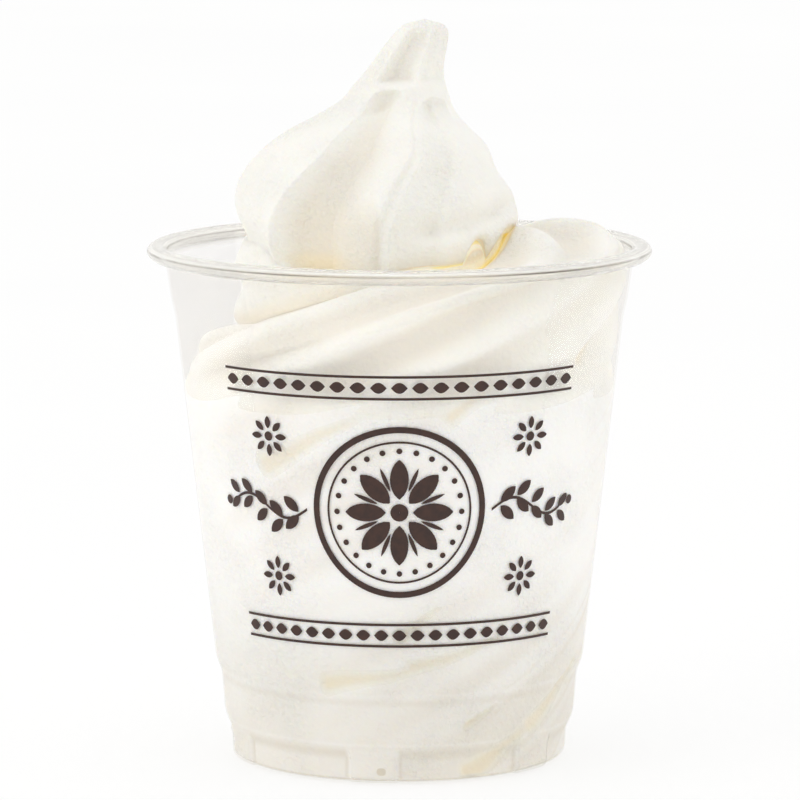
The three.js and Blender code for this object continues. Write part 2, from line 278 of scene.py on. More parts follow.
def makeCamera():
    data = bpy.data.cameras.new("photoCamera")
    data.sensor_width = cameraSettings["sensor"]
    data.lens = cameraSettings["lens"]
    data.clip_start, data.clip_end = 0.05, 50
    camera = bpy.data.objects.new("photoCamera", data)
    camera.location = cameraSettings["place"]
    camera.rotation_euler = (math.radians(90 - cameraSettings["down"]), 0, 0)
    scene.collection.objects.link(camera)
    scene.camera = camera


def areaLight(name, place, size, power):
    data = bpy.data.lights.new(name, "AREA")
    data.shape = "DISK"
    data.size = size
    data.energy = power
    lamp = bpy.data.objects.new(name, data)
    lamp.location = place
    towards = Vector(studio["lampTarget"]) - lamp.location
    lamp.rotation_euler = towards.to_track_quat("-Z", "Y").to_euler()
    scene.collection.objects.link(lamp)


def makeStudio():
    world = bpy.data.worlds.new("whiteStudio")
    world.use_nodes = True
    tree = world.node_tree
    tree.nodes.clear()
    room = Nodes.inTree(tree)
    away = room.add("ShaderNodeTexCoord", out=0).axis(1)    # from the camera's side to the far one
    behindCamera = (away * -1).smoothstep(studio["dimFrom"], studio["dimTo"])
    beyond = away.smoothstep(studio["dimFrom"], studio["dimTo"])
    level = behindCamera * (studio["front"] - studio["sides"]) + studio["sides"]
    level = beyond * (studio["back"] - studio["sides"]) + level
    white = (1, 1, 1, 1)
    lighting = room.add("ShaderNodeBackground", {}, {"Color": white, "Strength": level})
    seen = room.add("ShaderNodeBackground", {}, {"Color": white, "Strength": studio["backdrop"]})
    cameraRay = room.add("ShaderNodeLightPath", out=0)
    output = tree.nodes.new("ShaderNodeOutputWorld")
    tree.links.new(room.shaderMix(cameraRay, lighting, seen).socket, output.inputs["Surface"])
    scene.world = world
    areaLight("keyLight", studio["keyPlace"], studio["keySize"], studio["keyPower"])
    areaLight("fillLight", studio["fillPlace"], studio["fillSize"], studio["fillPower"])


def makeFloor():
    bm = bmesh.new()
    bmesh.ops.create_circle(bm, cap_ends=True, segments=96, radius=studio["floorRadius"])
    bmesh.ops.translate(bm, verts=bm.verts, vec=(0, 0, -studio["floorDrop"]))
    floor = meshPiece("studioFloor", bm)
    nodes = Nodes("paleFloor")
    mottle = nodes.noise(nodes.place(), studio["mottleScale"], 3)
    patches = []
    for grey, light in studio["floorTones"]:
        glow = nodes.add("ShaderNodeEmission", {}, {"Color": rgb(*light), "Strength": studio["floorGlow"]})
        patches.append(nodes.add("ShaderNodeAddShader", {}, {0: nodes.matte(rgb(grey, grey, grey)), 1: glow}))
    floor.data.materials.append(nodes.finish(nodes.shaderMix(mottle, *patches)))


makeCamera()
makeStudio()
makeFloor()
scene.view_settings.view_transform = "Standard"
print("stage: camera and studio")


cup = {                  # millimetres and degrees, close to the frame's cup but with a thinner wall
    "outside": [(32.3, 0.5), (32.6, 1.2), (32.75, 4.9), (33.9, 7.3), (34.3, 8.9), (34.85, 16.1),
                (36, 19.3), (43.3, 84), (43.5, 86), (44.4, 90), (45, 94)],
    "wall": 0.36,
    "beadRadius": 47, "beadZ": 98.72, "beadWidth": 2.0, "beadHeight": 1.48,
    "rollStart": 180, "rollEnd": -100, "rollSteps": 28,     # degrees round the rolled bead, over its top
    "neckOutside": (45.4, 97.2), "neckInside": (44.9, 97.4), "cornerReach": 0.9,
    "standOuter": 31.8, "standInner": 28.6,
    "floorLift": 1.1, "floorThick": 0.4,
    "blocks": 6, "blockStart": -17.5, "blockTurn": 17.5, "blockBevel": 1.2,
    "blockProud": 0.75, "blockTop": 6.4,
    "steps": 288,
}


def outsideRadius(z):
    radii, heights = zip(*cup["outside"])
    return np.interp(z, heights, radii)


def insideRadius(z):
    return outsideRadius(z) - cup["wall"]


def roundedLine(points, reach, steps=4):
    # the same line with each corner turned into a short curve
    points = [np.array(p, dtype=float) for p in points]
    line = [points[0]]
    for before, corner, after in zip(points, points[1:], points[2:]):
        lead, trail = before - corner, after - corner
        cut = min(reach, np.linalg.norm(lead) * 0.45, np.linalg.norm(trail) * 0.45)
        start = corner + lead / np.linalg.norm(lead) * cut
        end = corner + trail / np.linalg.norm(trail) * cut
        for i in range(steps + 1):
            t = i / steps
            line.append((1 - t) ** 2 * start + 2 * t * (1 - t) * corner + t * t * end)
    return line + [points[-1]]


def cupWallProfile():
    half = cup["wall"] / 2
    outside = [(cup["standInner"] - 0.9, cup["floorLift"]), (cup["standInner"], 0), (cup["standOuter"], 0)]
    ringInside = [(cup["standOuter"], cup["wall"] + 0.05), (cup["standInner"] + 0.3, cup["wall"])]
    outside = outside + cup["outside"]
    roll = []
    for i in range(cup["rollSteps"] + 1):
        around = math.radians(mix(cup["rollStart"], cup["rollEnd"], i / cup["rollSteps"]))
        roll.append((math.cos(around), math.sin(around)))
    wide, high = cup["beadWidth"] - half, cup["beadHeight"] - half
    under = [(cup["beadRadius"] + (wide - half) * c, cup["beadZ"] + (high - half) * s) for c, s in roll]
    over = [(cup["beadRadius"] + (wide + half) * c, cup["beadZ"] + (high + half) * s) for c, s in roll]
    floorZ = cup["floorLift"] + cup["floorThick"]
    inside = [(radius - cup["wall"], z) for radius, z in reversed(cup["outside"][1:])]
    inside += ringInside + [(cup["standInner"] - 0.6, floorZ)]
    profile = roundedLine(outside + [cup["neckOutside"]], cup["cornerReach"]) + under
    profile += over[::-1] + roundedLine([cup["neckInside"]] + inside, cup["cornerReach"])
    return [(0, cup["floorLift"])] + [tuple(p) for p in profile] + [(0, floorZ)]


def blockLift(turn, z):
    # how far the foot blocks stand out
    sector = 360 / cup["blocks"]
    middle = cup["blockStart"] + cup["blockTurn"] / 2
    off = np.abs((turn - middle + sector / 2) % sector - sector / 2)
    across = 1 - smooth(cup["blockTurn"] / 2 - cup["blockBevel"], cup["blockTurn"] / 2, off)
    upward = 1 - smooth(cup["blockTop"] - 0.6, cup["blockTop"] + 0.5, z)
    return cup["blockProud"] * across * upward


def makeCup():
    profile = cupWallProfile()

    def place(band, turn, on):
        radius, z = profile[band]
        wider = blockLift(turn, z) * float(smooth(30.5, 31.6, radius))
        return atTurn(turn, radius + wider, z)

    piece = wrappedBody("clearCup", len(profile) - 1, cup["steps"], place)
    closeSeams(piece)
    return piece


plastic = {              # screen colours, shares, and millimetres
    "bodyTone": (250, 249, 247), "ior": 1.42, "rippleScale": 90, "ripple": 0.12, "rippleDeep": 0.6,
    "scuffScale": 420, "scuff": 0.04, "smoothest": 0.005,
    "rollFrom": 96.4, "rollFull": 97.2,         # where the wall turns into the rolled rim
    "unbent": 0.94, "rimBend": 0.56,            # share seen unbent through the wall, and less at the rim
    "wallTone": (252, 251.4, 250.6), "rimTone": (253.4, 252.4, 250.6), "passTone": (254, 254, 253),
    "hazeTone": (255, 254, 251), "paintedLineTone": (84, 70, 50), "rimHaze": 0.07,
    "darkReflection": (98.75, 98.9, 99.05, 99.2), "brightReflection": (99.2, 99.35, 99.5, 99.7),
    "footShadeLine": (97.2, 97.4, 97.6, 97.9),       # painted reflections along the rim, a broken dark line and a bright line above it, and a painted shadow line at the bead's foot: each starts, is full, fades and ends
    "plainPart": (-46, -10, 30, 46),            # the same across the cup, for where the lines are plain
    "breakScale": 26, "breakFrom": 0.38, "breakTo": 0.56,
    "darkShare": 0.5, "darkLeast": 0.07, "brightShare": 0.35, "footShare": 0.1, "footTint": 0.6,
}


def clearPlastic():
    nodes = Nodes("clearPlastic")
    place = nodes.place()
    relief = nodes.add("ShaderNodeBump", {}, {
        "Height": nodes.noise(place, plastic["rippleScale"], 2), "Strength": plastic["ripple"],
        "Distance": plastic["rippleDeep"] * mm})
    scuff = nodes.noise(place, plastic["scuffScale"], 4)
    body = nodes.add("ShaderNodeBsdfPrincipled", {}, {
        "Base Color": rgb(*plastic["bodyTone"]), "Roughness": scuff * plastic["scuff"] + plastic["smoothest"],
        "IOR": plastic["ior"], "Transmission Weight": 1.0, "Normal": relief})
    height = place.axis(2) * (1 / mm)
    rolled = height.smoothstep(plastic["rollFrom"], plastic["rollFull"])
    clears = ("wallTone", "rimTone", "passTone")
    wallFilm, rimFilm, free = (nodes.clear(rgb(*plastic[name])) for name in clears)
    film = nodes.shaderMix(rolled, wallFilm, rimFilm)
    look = nodes.shaderMix(plastic["unbent"] - rolled * plastic["rimBend"], body, film)

    # painted reflections and shade on the rim: dark and bright lines, and a shadow line at the bead's foot,
    # mixed in as matte colour
    dark, bright, foot = (height.between(*plastic[name]) for name in ("darkReflection", "brightReflection", "footShadeLine"))
    middle = (place.axis(0) * (1 / mm)).between(*plastic["plainPart"])
    broken = nodes.noise(place, plastic["breakScale"], 2).smoothstep(plastic["breakFrom"], plastic["breakTo"])
    lines = dark * (broken * middle * plastic["darkShare"] + plastic["darkLeast"])
    lines = lines + bright * plastic["brightShare"] + foot * middle * plastic["footShare"]
    pale, shaded = (nodes.matte(rgb(*plastic[name])) for name in ("hazeTone", "paintedLineTone"))
    haze = nodes.shaderMix(dark + foot * plastic["footTint"], pale, shaded)
    look = nodes.shaderMix(rolled * plastic["rimHaze"] + lines, look, haze)

    shadowRay = nodes.add("ShaderNodeLightPath", out=1)
    diffuseRay = nodes.add("ShaderNodeLightPath", out=2)        # light that the cream scatters
    look = nodes.shaderMix(diffuseRay, look, free)
    return nodes.finish(nodes.shaderMix(shadowRay, look, free))


cupPiece = makeCup()
cupPiece.data.materials.append(clearPlastic())
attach(cupPiece, "root")
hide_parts("cup")
print("stage: clear cup")


ink = {                  # millimetres; the printed design on the front, drawn flat and wrapped on the wall
    "proud": 0.06, "middleZ": 53.5,
    "borderReach": 35, "borderUp": 24, "lineWide": 0.5, "lineApart": 4.2,
    "diamonds": 19, "diamondLong": 1.45, "diamondHigh": 1.05,
    "ringRadius": 16, "ringWide": 1.2, "innerRing": 13.6, "innerWide": 0.4,
    "dots": 24, "dotRing": 11.9, "dotRadius": 0.55,
    "petals": 8, "petalFrom": 2.6, "petalTo": 10.2, "petalWide": 1.75,
    "rayFrom": 4.4, "rayTo": 9.2, "rayWide": 0.4, "heart": 1.7,
    "stemFrom": 18, "stemTo": 36, "stemWave": 2.0, "stemWide": 0.28,
    "leaves": 5, "leafLong": 4.7, "leafWide": 1.05, "leafLean": 42, "berry": 0.9,
    "flowerX": 25.5, "flowerY": 13.6, "flowerPetals": 8,
    "flowerFrom": 1.5, "flowerTo": 3.9, "flowerWide": 0.62,
    "darkest": (46, 22, 12), "palest": (62, 33, 20), "patchScale": 700,     # screen colours of its patches
}


def stampStrip(bm, along, across, place):
    # a small grid; place gives its points on the flat drawing from x and y between -1 and 1
    made = bmesh.ops.create_grid(bm, x_segments=along, y_segments=across, size=1)
    for vert in made["verts"]:
        vert.co.x, vert.co.y = place(vert.co.x, vert.co.y)


def stampLine(bm, fromX, toX, y, wide):
    steps = max(2, round(abs(toX - fromX)))
    stampStrip(bm, steps, 1, lambda a, b: (mix(fromX, toX, (a + 1) / 2), y + b * wide / 2))


def stampRing(bm, x, y, radius, wide, steps=48):
    def place(a, b):
        out = radius + b * wide / 2
        return x + out * math.sin(math.pi * a), y + out * math.cos(math.pi * a)
    stampStrip(bm, steps, 1, place)


def stampDisc(bm, x, y, radius):
    stampRing(bm, x, y, radius * 0.51, radius * 0.98, 20)


def stampLeaf(bm, x, y, lean, start, end, wide, blunt=0.8):
    # pointed at both ends, from start to end along its lean from straight up
    across, up = math.cos(math.radians(lean)), math.sin(math.radians(lean))

    def place(a, b):
        reach = mix(start, end, (a + 1) / 2)
        side = b * wide * max(0.02, 1 - a * a) ** blunt
        return x + reach * up + side * across, y + reach * across - side * up
    stampStrip(bm, 10, 2, place)


def stampBorder(bm, y):
    reach = ink["borderReach"]
    for side in (-1, 1):
        stampLine(bm, -reach, reach, y + side * ink["lineApart"] / 2, ink["lineWide"])
    for i in range(ink["diamonds"]):
        x = mix(-1, 1, (i + 0.5) / ink["diamonds"]) * reach
        stampLeaf(bm, x, y, 90, -ink["diamondLong"], ink["diamondLong"], ink["diamondHigh"], 1.0)


def stampMedallion(bm):
    stampRing(bm, 0, 0, ink["ringRadius"], ink["ringWide"], 96)
    stampRing(bm, 0, 0, ink["innerRing"], ink["innerWide"], 96)
    for i in range(ink["dots"]):
        angle = 2 * math.pi * i / ink["dots"]
        stampDisc(bm, ink["dotRing"] * math.sin(angle), ink["dotRing"] * math.cos(angle), ink["dotRadius"])
    sector = 360 / ink["petals"]
    for i in range(ink["petals"]):
        stampLeaf(bm, 0, 0, i * sector, ink["petalFrom"], ink["petalTo"], ink["petalWide"], 0.7)
        stampLeaf(bm, 0, 0, (i + 0.5) * sector, ink["rayFrom"], ink["rayTo"], ink["rayWide"])
    stampDisc(bm, 0, 0, ink["heart"])


def stampSpray(bm, side):
    def stem(share):
        wave = ink["stemWave"] * math.sin(2 * math.pi * share)
        return side * mix(ink["stemFrom"], ink["stemTo"], share), side * wave

    def place(a, b):
        x, y = stem((a + 1) / 2)
        return x, y + b * ink["stemWide"]
    stampStrip(bm, 24, 1, place)
    for i in range(ink["leaves"]):
        x, y = stem((i + 0.4) / ink["leaves"])
        size = mix(1, 0.8, i / ink["leaves"])
        for lean in (90 - ink["leafLean"], 90 + ink["leafLean"]):
            stampLeaf(bm, x, y, side * lean, 0.6, ink["leafLong"] * size, ink["leafWide"] * size)
    x, y = stem(1)
    stampDisc(bm, x + side * 1.6, y, ink["berry"])


def stampFlower(bm, x, y):
    for i in range(ink["flowerPetals"]):
        lean = i * 360 / ink["flowerPetals"]
        stampLeaf(bm, x, y, lean, ink["flowerFrom"], ink["flowerTo"], ink["flowerWide"])
    stampDisc(bm, x, y, ink["berry"])


def makeInk():
    bm = bmesh.new()
    for up in (-ink["borderUp"], ink["borderUp"]):
        stampBorder(bm, up)
    stampMedallion(bm)
    for side in (-1, 1):
        stampSpray(bm, side)
        for up in (-1, 1):
            stampFlower(bm, side * ink["flowerX"], up * ink["flowerY"])
    piece = meshPiece("printedInk", bm)
    flat = readPoints(piece.data)
    z = ink["middleZ"] + flat[:, 1]
    middleRadius = outsideRadius(ink["middleZ"])
    turn = np.degrees(flat[:, 0] / middleRadius)
    writePoints(piece.data, atTurn(turn, outsideRadius(z) + ink["proud"], z) * mm)
    return piece


def darkInk():
    nodes = Nodes("darkInk")
    patchy = nodes.noise(nodes.place(), ink["patchScale"], 4)
    darkest, palest = (rgb(*ink[name]) for name in ("darkest", "palest"))
    tone = nodes.colourMix(patchy.smoothstep(0.3, 0.7), darkest, palest)
    return nodes.finish(nodes.add("ShaderNodeBsdfPrincipled", {}, {
        "Base Color": tone, "Roughness": patchy * 0.2 + 0.3}))


inkPiece = makeInk()
inkPiece.data.materials.append(darkInk())
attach(inkPiece, "root")
print("stage: printed ink")


cream = {                # millimetres and degrees, close to the frame's soft serve
    "columns": 312,
    "intoWall": 0.16,
    "floorEdge": 1.2, "lastWall": 63, "wallPitch": 0.72,        # heights of the rows that lie on the wall
    "highRows": 40, "shelfRows": 46, "coilRows": 22, "crownRows": 104,
    "flutes": 10, "fluteRise": 0.34, "valleyZ": 85, "fluteDepth": 3.2, "valleyPlace": 0.6,
    "broadValley": 1.5, "softRight": 0.55,
    "pressedZ": 70, "openZ": 81,
    "shelfZ": 92, "shelfSwing": 10.5, "shelfTurn": 22, "shelfDrop": 6.6, "dropSwing": 2.4,
    "shelfWidth": 19,
    "crownX": -4.7, "crownRadius": 27.6, "creaseRadius": 25.4,
    "notchDepth": 1.7, "valleyBite": 0.65,
    "crestReach": 0.06, "crestRound": 0.12, "crestLevel": 0.3,  # how the sharp crests are rounded
    "tipZ": 143.5, "collarZ": 130, "collarSoft": 4, "collarValleys": 0.15, "leastRadius": 0.25,
    "hornFrom": 1.2, "hornFull": 2.4, "hornFade": 4, "hornEnd": 0.3,    # above the collar, below the tip
    "fullValley": 4.5,                  # depth of a valley that is fully shaded
    "crownTwist": 20, "twistFromZ": 104, "twistToZ": 123, "hornBack": -12,
    "floorZ": 1.38,
}

crownProfile = [         # height, radius, shift of its axis
    (98, 27.3, -4.7), (104, 27.8, -4.7), (109, 27.5, -4.8), (114, 25, -5.4), (119, 22, -4.4),
    (122.4, 18, -3.8), (125, 14.2, -2.4), (128, 10.8, -0.7), (131, 8.9, 0.1), (135, 7.2, 1.6),
    (138.5, 6.2, 3.2), (141, 5.2, 4.3), (142.6, 3.6, 4.7), (143.5, 0, 4.8),
]

crownCrests = [          # degrees round the crown's base, depth of the valley after it,
                         # share of the way where it is down, share where it rises, how hollow the rise is
    (-100, 1.0, 0.4, 0.6, 1.5), (-46, 5.4, 0.45, 0.55, 0.8), (-0.5, 0.85, 0.4, 0.5, 1.0),
    (6, 1.6, 0.76, 0.82, 1.0), (30, 0.9, 0.5, 0.6, 1.5), (98, 2.6, 0.4, 0.5, 1.4),
    (132, 3.2, 0.4, 0.5, 1.3), (176, 3.4, 0.4, 0.5, 1.3), (218, 3.0, 0.4, 0.5, 1.3),
]

crownEdge = [            # degrees, height of the crown's lower edge
    (-130, 102.5), (-90, 100.8), (-60, 101), (-52, 100.2), (-46, 98.3), (-40, 97.2), (-30, 96.9), (-12, 97.1),
    (0, 97.6), (15, 98.2), (27, 98.4), (42, 98.7), (56, 98.9), (61, 100.6), (67, 102.6), (75, 102.9),
    (90, 102.4), (130, 103.2), (180, 103.6),
]

scallops = [             # hollows under the crown's edge
    {"turn": 48, "wide": 7.5, "high": 4.2, "square": 2.6},
]

fold = {                 # groove and lip round the crown's lower right: degrees and heights of its line
    "line": [(12, 104.2), (26, 104.5), (39, 105.2), (51, 106.1), (64, 107), (80, 107.6), (104, 108)],
    "deep": 1.3, "under": 1.1, "over": 2.6, "lip": 0.5, "lipBelow": 3, "lipHigh": 2.2,
    "fadeIn": 14, "fadeOut": 25,        # degrees at its ends
}

pockets = [              # rounded dips under the collar
    {"turn": -13, "z": 129.2, "wide": 17, "high": 1.2, "deep": 1.7, "slant": 2.2},
    {"turn": 46, "z": 127.3, "wide": 18, "high": 1.5, "deep": 1.5, "slant": -1.5},
]

shelfDip = [             # degrees, how far the shelf sinks beside the crown
    (-180, 0), (-30, 0), (0, 0.5), (15, 1.6), (28, 2.0), (43, 1.6), (55, 1.0), (65, 0.1), (75, -1.2),
    (85, -2.3), (95, -2.3), (110, -1.2), (130, -0.4), (160, 0), (180, 0),
]

creaseDrop = [           # degrees, depth of the crease under the shelf
    (-180, 1.5), (-135, 0), (-105, 0.1), (-85, 0.1), (-60, -0.6), (-45, -0.3), (0, 1.5), (28, 3.6),
    (45, 4.4), (62, 3.8), (75, 2.2), (88, 1.6), (105, 1.2), (135, 2.0), (180, 1.5),
]

lipPlace = [             # degrees, share of the way over the shelf where it turns down to the crease
    (-180, 0.86), (0, 0.86), (15, 0.76), (28, 0.6), (43, 0.66), (62, 0.82), (75, 0.88), (180, 0.86),
]

leftCoil = [             # share of the height from the crease to the crown's edge, radius at the left
    (0, 25.0), (0.07, 26.2), (0.2, 27.6), (0.34, 27.2), (0.5, 25.9), (0.63, 26.7), (0.75, 27.5),
    (0.9, 27.0), (1, 26.4),
]

shelfRise = [            # share of the way in over the shelf, share of its climb
    (0, 0), (0.05, 0.4), (0.17, 0.72), (0.36, 0.9), (0.6, 1), (0.84, 0.98), (1, 0.98),
]

hornFlutes = [           # degrees, half width, depth as a share of the radius
    (-6, 25, 0.36), (54, 30, 0.16), (130, 34, 0.2), (-120, 30, 0.18),
]

turnRanges = {           # degrees: where each change round the cream starts, is full, fades and ends
    "softRight": (8, 45, 110, 150), "fineBands": (18, 40, 110, 150),
    "leftNotch": (-165, -130, -75, -35), "frontFlute": (-52, -40, -8, 4),
    "crevice": (0, 30, 92, 120), "leftCrevice": (-95, -75, -20, 0),
    "pit": (25, 40, 95, 110), "rightPit": (54, 62, 92, 104), "middleShade": (-30, -10, 0, 4),
}

creamShades = ("valley", "crevice", "contact")     # attributes of the mesh, for its material: painted shade in valleys, painted warm shade in crevices, and where the cream lies on the wall

streaks = [              # thin gaps that the cream leaves at the wall: two ends, width, depth
    {"from": (-41, 60.8), "to": (-10, 71.5), "wide": 1.9, "deep": 0.9},
    {"from": (12, 71.0), "to": (27, 77.5), "wide": 1.3, "deep": 0.8},
    {"from": (-25, 18.9), "to": (10, 23.4), "wide": 1.7, "deep": 0.8},
    {"from": (2, 22.6), "to": (34, 28.4), "wide": 1.2, "deep": 0.7},
    {"from": (-1, 28.6), "to": (14, 35.4), "wide": 1.0, "deep": 0.6},
    {"from": (21, 10.4), "to": (34, 15.6), "wide": 0.8, "deep": 0.8},
    {"from": (22, 0.6), "to": (48, 9.2), "wide": 2.0, "deep": 1.2},
    {"from": (46, 8.4), "to": (75, 21), "wide": 1.6, "deep": 1.0},
    {"from": (56, 79), "to": (66, 86), "wide": 1.2, "deep": 0.8},
]


def rangeAt(name, turn):
    return between(turn, *turnRanges[name])


def valleyShape(share, place):
    half = np.where(share < place, 0.5 * share / place, 0.5 + 0.5 * (share - place) / (1 - place))
    return 0.5 - 0.5 * np.cos(2 * math.pi * half)


def shelfTop(turn):
    return cream["shelfZ"] + cream["shelfSwing"] * np.sin(np.radians(turn + cream["shelfTurn"]))


def wallTop(turn):
    return shelfTop(turn) - cream["shelfDrop"] + cream["dropSwing"] * np.sin(np.radians(turn))


def innerTop(turn):
    return shelfTop(turn) - curveThrough(shelfDip, turn)


def creaseZ(turn):
    deep = innerTop(turn) - curveThrough(creaseDrop, turn)
    return np.minimum(deep, aroundCurve(crownEdge, turn) - 0.9)


def aroundCurve(rows, turn):
    # smooth closed curve through (turn, value) rows
    start = rows[0][0]
    wrapped = [(t - 360, v) for t, v in rows[-2:]] + rows + [(t + 360, v) for t, v in rows[:2]]
    return curveThrough(wrapped, start + (turn - start) % 360)


def archesAt(turn):
    arches = 0
    for arch in scallops:
        off = np.abs(wrapTurn(turn - arch["turn"]) / arch["wide"])
        arches = arches + arch["high"] * clamp01(1 - off ** arch["square"])
    return arches


def crownEdgeZ(turn):
    return aroundCurve(crownEdge, turn) + archesAt(turn)


def fluteAt(turn, climbed):
    spacing = 360 / cream["flutes"]
    phase = (turn - (climbed - cream["valleyZ"]) / cream["fluteRise"]) / spacing + 1 - cream["valleyPlace"]
    valley = valleyShape(1 - (phase - np.floor(phase)), cream["valleyPlace"])
    return 1 - (1 - valley) ** cream["broadValley"]


def softSide(turn):
    # the flutes are pressed nearly flat where the cream leans on the wall at the right
    return 1 - cream["softRight"] * rangeAt("softRight", turn)


def crownValley(turn, z):
    twist = cream["crownTwist"] * smooth(cream["twistFromZ"], cream["twistToZ"], z)
    twist = twist + cream["hornBack"] * smooth(cream["twistToZ"] - 1, cream["tipZ"], z)
    first = crownCrests[0][0]
    local = (turn - twist - first) % 360
    crests = np.array([c[0] - first for c in crownCrests] + [360.0])
    deep, down, rise, hollow = (np.array([c[k] for c in crownCrests]) for k in (1, 2, 3, 4))
    i = np.clip(np.searchsorted(crests, local, side="right") - 1, 0, len(deep) - 1)
    share = clamp01((local - crests[i]) / (crests[i + 1] - crests[i]))
    falling = np.sin(math.pi / 2 * clamp01(share / down[i])) ** cream["valleyBite"]
    rising = clamp01((share - rise[i]) / (1 - rise[i])) ** hollow[i]
    reach = cream["crestReach"]
    rounding = cream["crestRound"] * (1 - between(share, 0, reach, 1 - reach, 1))
    return deep[i] * mix(falling * (1 - rising), cream["crestLevel"], rounding)


def foldRelief(turn, z):
    start, end = fold["line"][0][0], fold["line"][-1][0]
    window = between(turn, start, start + fold["fadeIn"], end - fold["fadeOut"], end)
    above = z - curveThrough(fold["line"], turn)
    groove = bump(np.where(above < 0, above / fold["under"], above / fold["over"]))
    lip = bump((above + fold["lipBelow"]) / fold["lipHigh"])
    return window * (fold["deep"] * groove - fold["lip"] * lip)


def crownRadiusAt(turn, z):
    radius = curveThrough(crownProfile, z, 1)
    share = radius / cream["crownRadius"]
    collar, tip = cream["collarZ"], cream["tipZ"]
    belowCollar = 1 - smooth(collar - cream["collarSoft"], collar, z)
    depth = crownValley(turn, z) * share ** 0.8 * mix(cream["collarValleys"], 1, belowCollar)
    depth = depth + foldRelief(turn, z)
    for pocket in pockets:
        upward = z - pocket["z"]
        across = wrapTurn(turn - pocket["turn"] - pocket["slant"] * upward) / pocket["wide"]
        upward = upward / pocket["high"]
        inside = clamp01(1 - across ** 2 - upward ** 2 * np.where(upward > 0, 1, 0.1))
        depth = depth + pocket["deep"] * inside ** 0.7
    horn = between(z, collar + cream["hornFrom"], collar + cream["hornFull"],
                   tip - cream["hornFade"], tip - cream["hornEnd"])
    for turnAt, wide, deep in hornFlutes:
        depth = depth + horn * radius * deep * bump(np.abs(wrapTurn(turn - turnAt) / wide) ** 3.2)
    return np.maximum(radius - depth, cream["leastRadius"] * radius), depth


def creviceShadeAt(turn):
    # painted warm shade in the deep gap under the crown, strongest at the front right
    least = 0.12
    return least + 0.14 * rangeAt("leftCrevice", turn) + (1 - least) * rangeAt("crevice", turn)


def wallShade(turn, z):
    # how shaded the cream is where it lies on the wall: soft slanting bands, and finer ones at the right
    slant = turn - (z - cream["valleyZ"]) / cream["fluteRise"]
    bands = 0.5 + 0.5 * waves(5, 5, 0.05, 0.32, slant + 0.02 * z ** 1.2)
    drift = 0.5 + 0.5 * waves(9, 3, 0.02, 0.05, turn, z)
    fine = waves(14, 4, 0.3, 0.8, slant + 0.05 * z)
    fine = smooth(0.1, 0.8, fine * (0.6 + 0.4 * waves(3, 3, 0.03, 0.09, turn, z)))
    front = bump(wrapTurn(turn) / 60)
    soft = clamp01(bands * drift * 1.7) * mix(0.4, 1, front)
    return clamp01(soft + 0.7 * fine * rangeAt("fineBands", turn))


def streakDepth(turn, z):
    deep = np.zeros_like(turn)
    perTurn = math.radians(1) * 38      # millimetres along the wall in each degree
    for streak in streaks:
        (turnA, zA), (turnB, zB) = streak["from"], streak["to"]
        u, w = wrapTurn(turn - turnA) * perTurn, z - zA
        alongU, alongW = (turnB - turnA) * perTurn, zB - zA
        length = math.hypot(alongU, alongW)
        place = (u * alongU + w * alongW) / length
        side = (u * alongW - w * alongU) / length
        side = side + 0.3 * np.sin(place * 0.3 + turnA)
        along = clamp01(place / length)
        ends = between(place, -1, 1.5, length - 3, length + 1)
        wide = streak["wide"] * mix(1.25, 0.4, along)
        deep = np.maximum(deep, streak["deep"] * ends * mix(1, 0.5, along) * bump(side / wide))
    return deep


